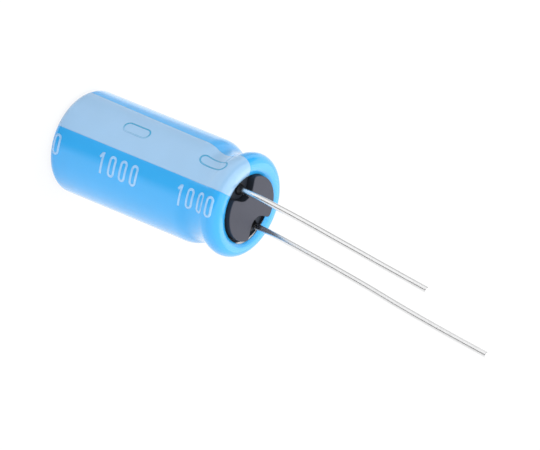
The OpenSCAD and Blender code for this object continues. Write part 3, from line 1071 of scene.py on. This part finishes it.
class CAPACITOR_OT_bung(bpy.types.Operator):
    """Makes the rubber bung with its raised land"""
    bl_idname = "capacitor.bung"
    bl_label = "Bung"

    def execute(self, context):
        bung = settings().bung
        floor = LAND_TOP - bung.land_height
        azimuth = ring_azimuths(192)
        land = land_surface(floor)
        body = spun(bung_section(floor, azimuth), azimuth)
        points = np.concatenate([shell.reshape(-1, 3) for shell in (land, body)])
        faces = tube_faces(*land.shape[:2]) + tube_faces(*body.shape[:2], first=land[..., 0].size)
        # Below the land's face the rubber takes the recess shade colour: painted shade in the recesses and
        # groove.
        rubber = new_material("Black rubber", rubber_group(),
                              {"Colour": rgba(bung.colour), "Bloom": 0.25, "Dust": (0.42, 0.42, 0.44, 1),
                               "Grain": 0.35, "Low colour": rgba(bung.clean), "Low": LAND_TOP - 0.1 * MM,
                               "High": LAND_TOP - 0.03 * MM}, IOR=1.25)
        piece = new_piece("bung_rubber", points, faces, rubber)
        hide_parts("rubber_bung")
        return {"FINISHED"}


def wire_path(name, side):
    """The middle of a wire in its upright plane: distances out and up, the way out, and the foot at z 0.

    It rises straight from the rod, turns through an arc that touches both straight runs, and follows the
    line of its mount to the tip.
    """
    leads = settings().leads
    mount = MOUNTS[name]
    axis = Vector(mount["axis"]).normalized()
    middle = Vector(mount["pos_m"])
    corner = middle - axis * ((middle.x - side * LEAD_X) / axis.x)
    lean = axis.angle(Vector((0, 0, 1)))
    reach = leads.bend_radius * math.tan(lean / 2)
    sideways = Vector((axis.x, axis.y, 0)).normalized()
    tip = middle + axis * (mount["dims"]["length_mm"] * MM / 2 + leads.bevel)
    rise = np.linspace(ROD_TOP, corner.z - reach, 30)
    turn = np.linspace(0, lean, 13)[1:]
    run = np.linspace(0, (tip - corner).length - reach, 220)[1:]
    out = np.concatenate([np.zeros_like(rise), leads.bend_radius * (1 - np.cos(turn)),
                          math.sin(lean) * (reach + run)])
    up = np.concatenate([rise, corner.z - reach + leads.bend_radius * np.sin(turn),
                         corner.z + math.cos(lean) * (reach + run)])
    return out, up, np.array(sideways), np.array([side * LEAD_X, 0.0, 0.0])


class CAPACITOR_OT_leads(bpy.types.Operator):
    """Makes the tinned wires, welded to their rods, bent once and cut"""
    bl_idname = "capacitor.leads"
    bl_label = "Leads"

    def execute(self, context):
        leads = settings().leads
        tin = metal_material("Bright tin", leads.tin, rough=0.2, dulling=0.08, lines=0.25)
        # The foot of each wire takes the dark weld colour: duller weld metal and painted shade, fading out
        # upwards.
        dull_shade_end = ROD_TOP + leads.dull_shade_height
        dull_and_shade_at_weld(tin, leads, dull_shade_end, dull_shade_end + leads.weld_fade)
        wander_reach = 0.012 * MM
        for side, name, drift in ((1, "cathode", leads.cathode_drift), (-1, "anode", leads.anode_drift)):
            out, up, sideways, foot = wire_path(name + "_wire", side)
            share = (up - up[0]) / (up[-1] - up[0])
            out = out + curve_through(drift, share)
            wander = wander_reach * np.sin(share * 17 + side) * smooth_step(share * 4)
            across = np.cross(UPWARDS, sideways)
            line = (foot + out[:, None] * sideways + up[:, None] * UPWARDS
                    + wander[:, None] * across)
            radius = MOUNTS[name + "_wire"]["dims"]["r_mm"] * MM
            weld = smooth_step((up - ROD_TOP) / leads.weld_height)
            radii = ROD_RADIUS + (radius - ROD_RADIUS) * weld
            tube(name + "_wire", line, radii, sideways, leads.bevel, tin, name + "_lead")
        return {"FINISHED"}


def tube(name, line, radii, sideways, bevel, material, replaced):
    """A wire as rings carried along its line, with a bevelled flat tip.

    A ring's point is centre + radius * (cos a * n + sin a * b): b is level and square to the wire's plane,
    and n is square to b and to the wire's direction.
    """
    ahead = unit(np.gradient(line, axis=0))
    level = np.cross(UPWARDS, sideways)
    normal = unit(np.cross(level, ahead))
    turn = np.linspace(0, math.pi / 2, 5)
    tip_line = line[-1] + ahead[-1] * (bevel * (np.sin(turn) - 1))[:, None]
    tip_radii = radii[-1] - bevel * (1 - np.cos(turn))
    keep = np.linalg.norm(line - line[-1], axis=1) > bevel * 1.5
    line = np.concatenate([line[keep], tip_line])
    radii = np.concatenate([radii[keep], tip_radii])
    normal = np.concatenate([normal[keep], np.repeat(normal[-1:], len(turn), axis=0)])
    a = ring_azimuths(48)
    ring = np.cos(a)[None, :, None] * normal[:, None] + np.sin(a)[None, :, None] * level
    points = line[:, None] + radii[:, None, None] * ring
    piece = new_piece(name, points, tube_faces(*points.shape[:2]), material)
    for end in (-2, -1):
        piece.data.polygons[len(piece.data.polygons) + end].use_smooth = False
    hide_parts(replaced)


class CAPACITOR_OT_inside(bpy.types.Operator):
    """Finishes the rods, tabs and winding inside the can"""
    bl_idname = "capacitor.inside"
    bl_label = "Inside"

    def execute(self, context):
        tab = metal_material("Rolled aluminium", (0.75, 0.76, 0.78), rough=0.3)
        # The tops of the rods take the dark weld colour: duller metal and painted shade, turning bright lower
        # down.
        dull_shade_depth, bright_depth = 1.5 * MM, 2.0 * MM
        dull_and_shade_at_weld(tab, settings().leads, ROD_TOP - dull_shade_depth, ROD_TOP - bright_depth)
        paper = new_material("Winding paper", rubber_group(),
                             {"Colour": (0.72, 0.62, 0.42, 1), "Bloom": 0.3, "Dust": (0.66, 0.56, 0.38, 1),
                              "Grain": 0.6})
        tape = film_material("Winding tape", (0.85, 0.8, 0.6))
        for name in ("cathode_tab", "anode_tab"):
            dress_cad_node(name, tab)
        dress_cad_node("winding", paper)
        dress_cad_node("winding_tape", tape)
        return {"FINISHED"}


# The stage

def picture_axes(stage):
    """Directions across, up and out of the picture, in the frame.

    Before the camera is rolled, the can's axis points straight up in the picture. The roll lays it down
    until it falls to the right by the axis slope.
    """
    a, e, slope = stage.azimuth, stage.elevation, stage.axis_slope
    out = Vector((math.cos(e) * math.cos(a), math.cos(e) * math.sin(a), math.sin(e)))
    level = Vector((-math.sin(a), math.cos(a), 0))
    raised = out.cross(level)
    across = math.cos(slope) * raised - math.sin(slope) * level
    up = -math.sin(slope) * raised - math.cos(slope) * level
    return across, up, out


def empty_tree(owner):
    """The node tree of a material or a world, with nothing in it."""
    owner.use_nodes = True
    owner.node_tree.nodes.clear()
    return owner.node_tree


def any_of(tree, *sockets):
    """The greatest of several values, which says whether any of them is 1 where they are 0 or 1."""
    greatest = sockets[0]
    for socket in sockets[1:]:
        greatest = maths(tree, (-200, 0), "MAXIMUM", greatest, socket)
    return greatest


def stage_piece(name, finish, points, faces):
    """A piece of the stage, which isn't part of the object, and the empty node tree of its material."""
    mesh = bpy.data.meshes.new(name)
    mesh.from_pydata(points, [], faces)
    piece = linked(name, mesh)
    material = bpy.data.materials.new(finish)
    mesh.materials.append(material)
    return piece, empty_tree(material)


def way_at(azimuth, slope):
    """A direction that rises by slope for each unit outwards."""
    return Vector((math.cos(azimuth), math.sin(azimuth), slope))


class CAPACITOR_OT_stage(bpy.types.Operator):
    """Makes the floor, the lights and the camera"""
    bl_idname = "capacitor.stage"
    bl_label = "Stage"

    def execute(self, context):
        stage = settings().stage
        across, up, out = picture_axes(stage)
        self.make_camera(stage, across, up, out)
        self.make_world(stage)
        self.make_floor(stage)
        level, reach = 0.3 * MM, stage.near_card_reach
        near, far = stage.upright_distance, stage.card_reach
        for name, curve, inner, outer in (
                ("Near card", stage.near_card, (level, level), (reach, level)),
                ("Far card", stage.far_card, (reach, level), (far, level)),
                ("Upright card", stage.upright_card, (near, level), (near, stage.upright_height)),
                ("Tall card", stage.upright_card, (far, level), (far, stage.tall_height)),
                ("Crease shade card", stage.crease_shade_card, (far, stage.crease_low), (far, stage.crease_high))):
            self.make_card(name, stage.azimuth, curve, inner, outer)
        self.make_lights(stage, across, up)
        bpy.context.scene.view_settings.view_transform = "Standard"
        return {"FINISHED"}

    def make_camera(self, stage, across, up, out):
        """A camera that puts the closed end's middle at its pixel in the picture."""
        camera = bpy.data.cameras.new("Camera")
        focal_px = stage.pixel_scale * stage.distance / MM
        camera.sensor_width = 36
        camera.lens = focal_px / stage.picture_width * camera.sensor_width
        camera.clip_start = 0.01
        camera.clip_end = 10
        to_right = (stage.picture_width / 2 - stage.closed_end_u) / stage.pixel_scale * MM
        to_top = (stage.closed_end_v - stage.picture_height / 2) / stage.pixel_scale * MM
        body = linked("Camera", camera)
        turn = Matrix((across, up, out)).transposed().to_4x4()
        spot = across * to_right + up * to_top + out * stage.distance
        body.matrix_world = Matrix.Translation(spot) @ turn
        bpy.context.scene.camera = body

    def make_world(self, stage):
        """White surroundings, dimmer for the light they give than for what is seen or mirrored."""
        world = bpy.data.worlds.new("Surroundings")
        bpy.context.scene.world = world
        tree = empty_tree(world)
        path = node(tree, "ShaderNodeLightPath", (-400, 0)).outputs
        white = any_of(tree, path["Is Camera Ray"], path["Is Glossy Ray"], path["Is Transmission Ray"])
        ambient = node(tree, "ShaderNodeBackground", (0, 100), Color=WHITE, Strength=stage.ambient)
        plain = node(tree, "ShaderNodeBackground", (0, -100), Color=WHITE, Strength=stage.reflected)
        mix = node(tree, "ShaderNodeMixShader", (200, 0), white, ambient.outputs[0], plain.outputs[0])
        node(tree, "ShaderNodeOutputWorld", (400, 0), mix.outputs[0])

    def make_floor(self, stage):
        """A matte floor that is plain white where it is mirrored, and mostly so where the camera sees it."""
        half, floor_brightness = stage.floor_size / 2, 1.03
        corners = [(-half, -half, 0), (half, -half, 0), (half, half, 0), (-half, half, 0)]
        tree = stage_piece("Floor", "White floor", corners, [(0, 1, 2, 3)])[1]
        path = node(tree, "ShaderNodeLightPath", (-400, 0)).outputs
        seen = maths(tree, (0, -200), "MULTIPLY", path["Is Camera Ray"], stage.floor_white)
        white = any_of(tree, seen, path["Is Glossy Ray"], path["Is Transmission Ray"])
        matte = node(tree, "ShaderNodeBsdfDiffuse", (0, 200), Color=rgba(stage.floor_colour))
        plain = node(tree, "ShaderNodeEmission", (0, 0), Color=WHITE, Strength=floor_brightness)
        mix = node(tree, "ShaderNodeMixShader", (400, 0), white, matte.outputs[0], plain.outputs[0])
        node(tree, "ShaderNodeOutputMaterial", (600, 0), mix.outputs[0])

    def make_card(self, name, camera_azimuth, curve, inner, outer):
        """A card that only mirrored rays meet, with a brightness that goes by azimuth.

        It runs from inner to outer, each a distance out from the can and a height. Seen in the side of the
        can, the floor in the direction a appears where the side faces halfway between a and the camera. So
        each column of the card starts at the can there and runs out along a, and the bands that the can
        mirrors are straight and parallel to its axis.
        """
        corners, levels = np.array(curve).reshape(-1, 2).T
        a = np.linspace(corners[0], corners[-1], 400)
        level = np.interp(a, corners, levels)
        a = np.radians(a)
        foot = CAN_RADIUS * direction((a + camera_azimuth) / 2)
        points = np.concatenate([np.column_stack([foot + direction(a) * out, np.full(len(a), height)])
                                 for out, height in (inner, outer)])
        card, tree = stage_piece(name, name, points.tolist(), faces_of_grid(2, len(a)).tolist())
        brightness = card.data.attributes.new("brightness", "FLOAT", "POINT")
        brightness.data.foreach_set("value", np.tile(level, 2))
        read = node(tree, "ShaderNodeAttribute", (-200, 0), attribute_name="brightness")
        plain = node(tree, "ShaderNodeEmission", (0, 0), Color=WHITE, Strength=read.outputs["Fac"])
        node(tree, "ShaderNodeOutputMaterial", (200, 0), plain.outputs[0])
        card.visible_camera = False
        card.visible_diffuse = False
        card.visible_transmission = False
        card.visible_shadow = False

    def make_lights(self, stage, across, up):
        """A light overhead, a low one beside the camera, and one behind the can that the rim mirrors."""
        lean_right, lean_up, fill_slope, back_slope = 0.25, 0.1, 0.45, 0.9
        overhead = Vector((0, 0, 1)) + across * lean_right + up * lean_up
        for name, way, power, mirrored in (
                ("Key", overhead, stage.key_power, False),
                ("Fill", way_at(stage.fill_azimuth, fill_slope), stage.fill_power, False),
                ("Back", way_at(stage.back_azimuth, back_slope), stage.back_power, True)):
            self.soft_light(name, stage, way.normalized(), power, mirrored)

    def soft_light(self, name, stage, way, power, mirrored):
        """A large square light that faces the rim from a direction."""
        light = bpy.data.lights.new(name, "AREA")
        light.shape = "SQUARE"
        light.size = stage.key_size
        light.energy = power
        lamp = linked(name, light)
        lamp.location = Vector((0, 0, RIM_TOP)) + way * stage.key_distance
        lamp.rotation_euler = way.to_track_quat("Z", "Y").to_euler()
        lamp.visible_glossy = mirrored


class CapacitorSettings(bpy.types.PropertyGroup):
    can: PointerProperty(type=CanSettings)
    sleeve: PointerProperty(type=SleeveSettings)
    ink: PointerProperty(type=PrintSettings)
    bung: PointerProperty(type=BungSettings)
    leads: PointerProperty(type=LeadSettings)
    stage: PointerProperty(type=StageSettings)


STEPS = (CAPACITOR_OT_sleeve, CAPACITOR_OT_stripe, CAPACITOR_OT_minus_marks, CAPACITOR_OT_numbers,
         CAPACITOR_OT_can, CAPACITOR_OT_bung, CAPACITOR_OT_leads, CAPACITOR_OT_inside, CAPACITOR_OT_stage)


class VIEW3D_PT_capacitor(bpy.types.Panel):
    bl_label = "Capacitor"
    bl_space_type = "VIEW_3D"
    bl_region_type = "UI"
    bl_category = "Capacitor"

    def draw(self, context):
        for step in STEPS:
            self.layout.operator(step.bl_idname)


CLASSES = (CanSettings, SleeveSettings, PrintSettings, BungSettings, LeadSettings, StageSettings,
           CapacitorSettings, *STEPS, VIEW3D_PT_capacitor)


def register():
    for kind in CLASSES:
        bpy.utils.register_class(kind)
    bpy.types.Scene.capacitor = PointerProperty(type=CapacitorSettings)


def unregister():
    del bpy.types.Scene.capacitor
    for kind in reversed(CLASSES):
        bpy.utils.unregister_class(kind)


def main():
    register()
    for step in STEPS:
        group, name = step.bl_idname.split(".")
        getattr(getattr(bpy.ops, group), name)()


if __name__ == "__main__":
    main()
